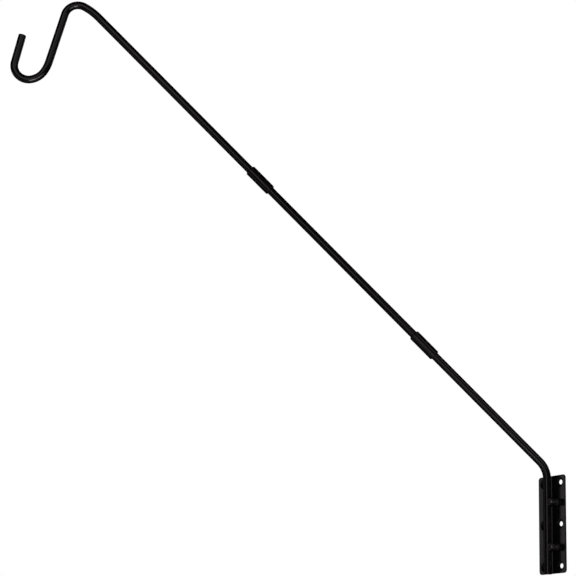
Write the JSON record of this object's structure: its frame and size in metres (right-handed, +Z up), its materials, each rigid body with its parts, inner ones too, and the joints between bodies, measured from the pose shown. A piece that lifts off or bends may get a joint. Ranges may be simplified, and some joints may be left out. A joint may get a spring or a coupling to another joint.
{
  "type": "deck hook",
  "caption": "Swinging black steel hook arm in screwed sections, clamped upright on a flat wall or post plate, for hanging pots and feeders.",
  "frame": {"origin": "middle of the mounting plate's back face, where it meets the wall or post", "axes": "+Z up along the clamped bar, +Y into the wall, +X to the right seen from the front"},
  "size_m": [0.4853, 0.7533, 0.9178],
  "materials": {
    "bar_paint": "semi-gloss black powder coat on round steel bar",
    "sleeve_paint": "satin black powder coat on turned steel sleeves",
    "bracket_paint": "semi-gloss black powder coat on pressed steel",
    "fastener_steel": "black oxide steel fasteners"
  },
  "bodies": {
    "bracket": {"mounting_plate": "bracket_paint", "upper_back_strap": "bracket_paint", "upper_front_clip": "bracket_paint", "upper_clamp_bolt": "fastener_steel", "upper_clamp_washer": "fastener_steel", "upper_clamp_nut": "fastener_steel", "lower_back_strap": "bracket_paint", "lower_front_clip": "bracket_paint", "lower_clamp_bolt": "fastener_steel", "lower_clamp_washer": "fastener_steel", "lower_clamp_nut": "fastener_steel"},
    "arm": {"base_rod": "bar_paint", "lower_coupling": "sleeve_paint", "middle_rod": "bar_paint", "upper_coupling": "sleeve_paint", "hook_rod": "bar_paint"}
  },
  "joints": [
    {"name": "arm_swing", "type": "hinge", "parent": "bracket", "child": "arm", "pos_m": [0, -0.01145, 0], "axis": [0, 0, 1], "range_deg": [-53.7, 116.3]}
  ]
}
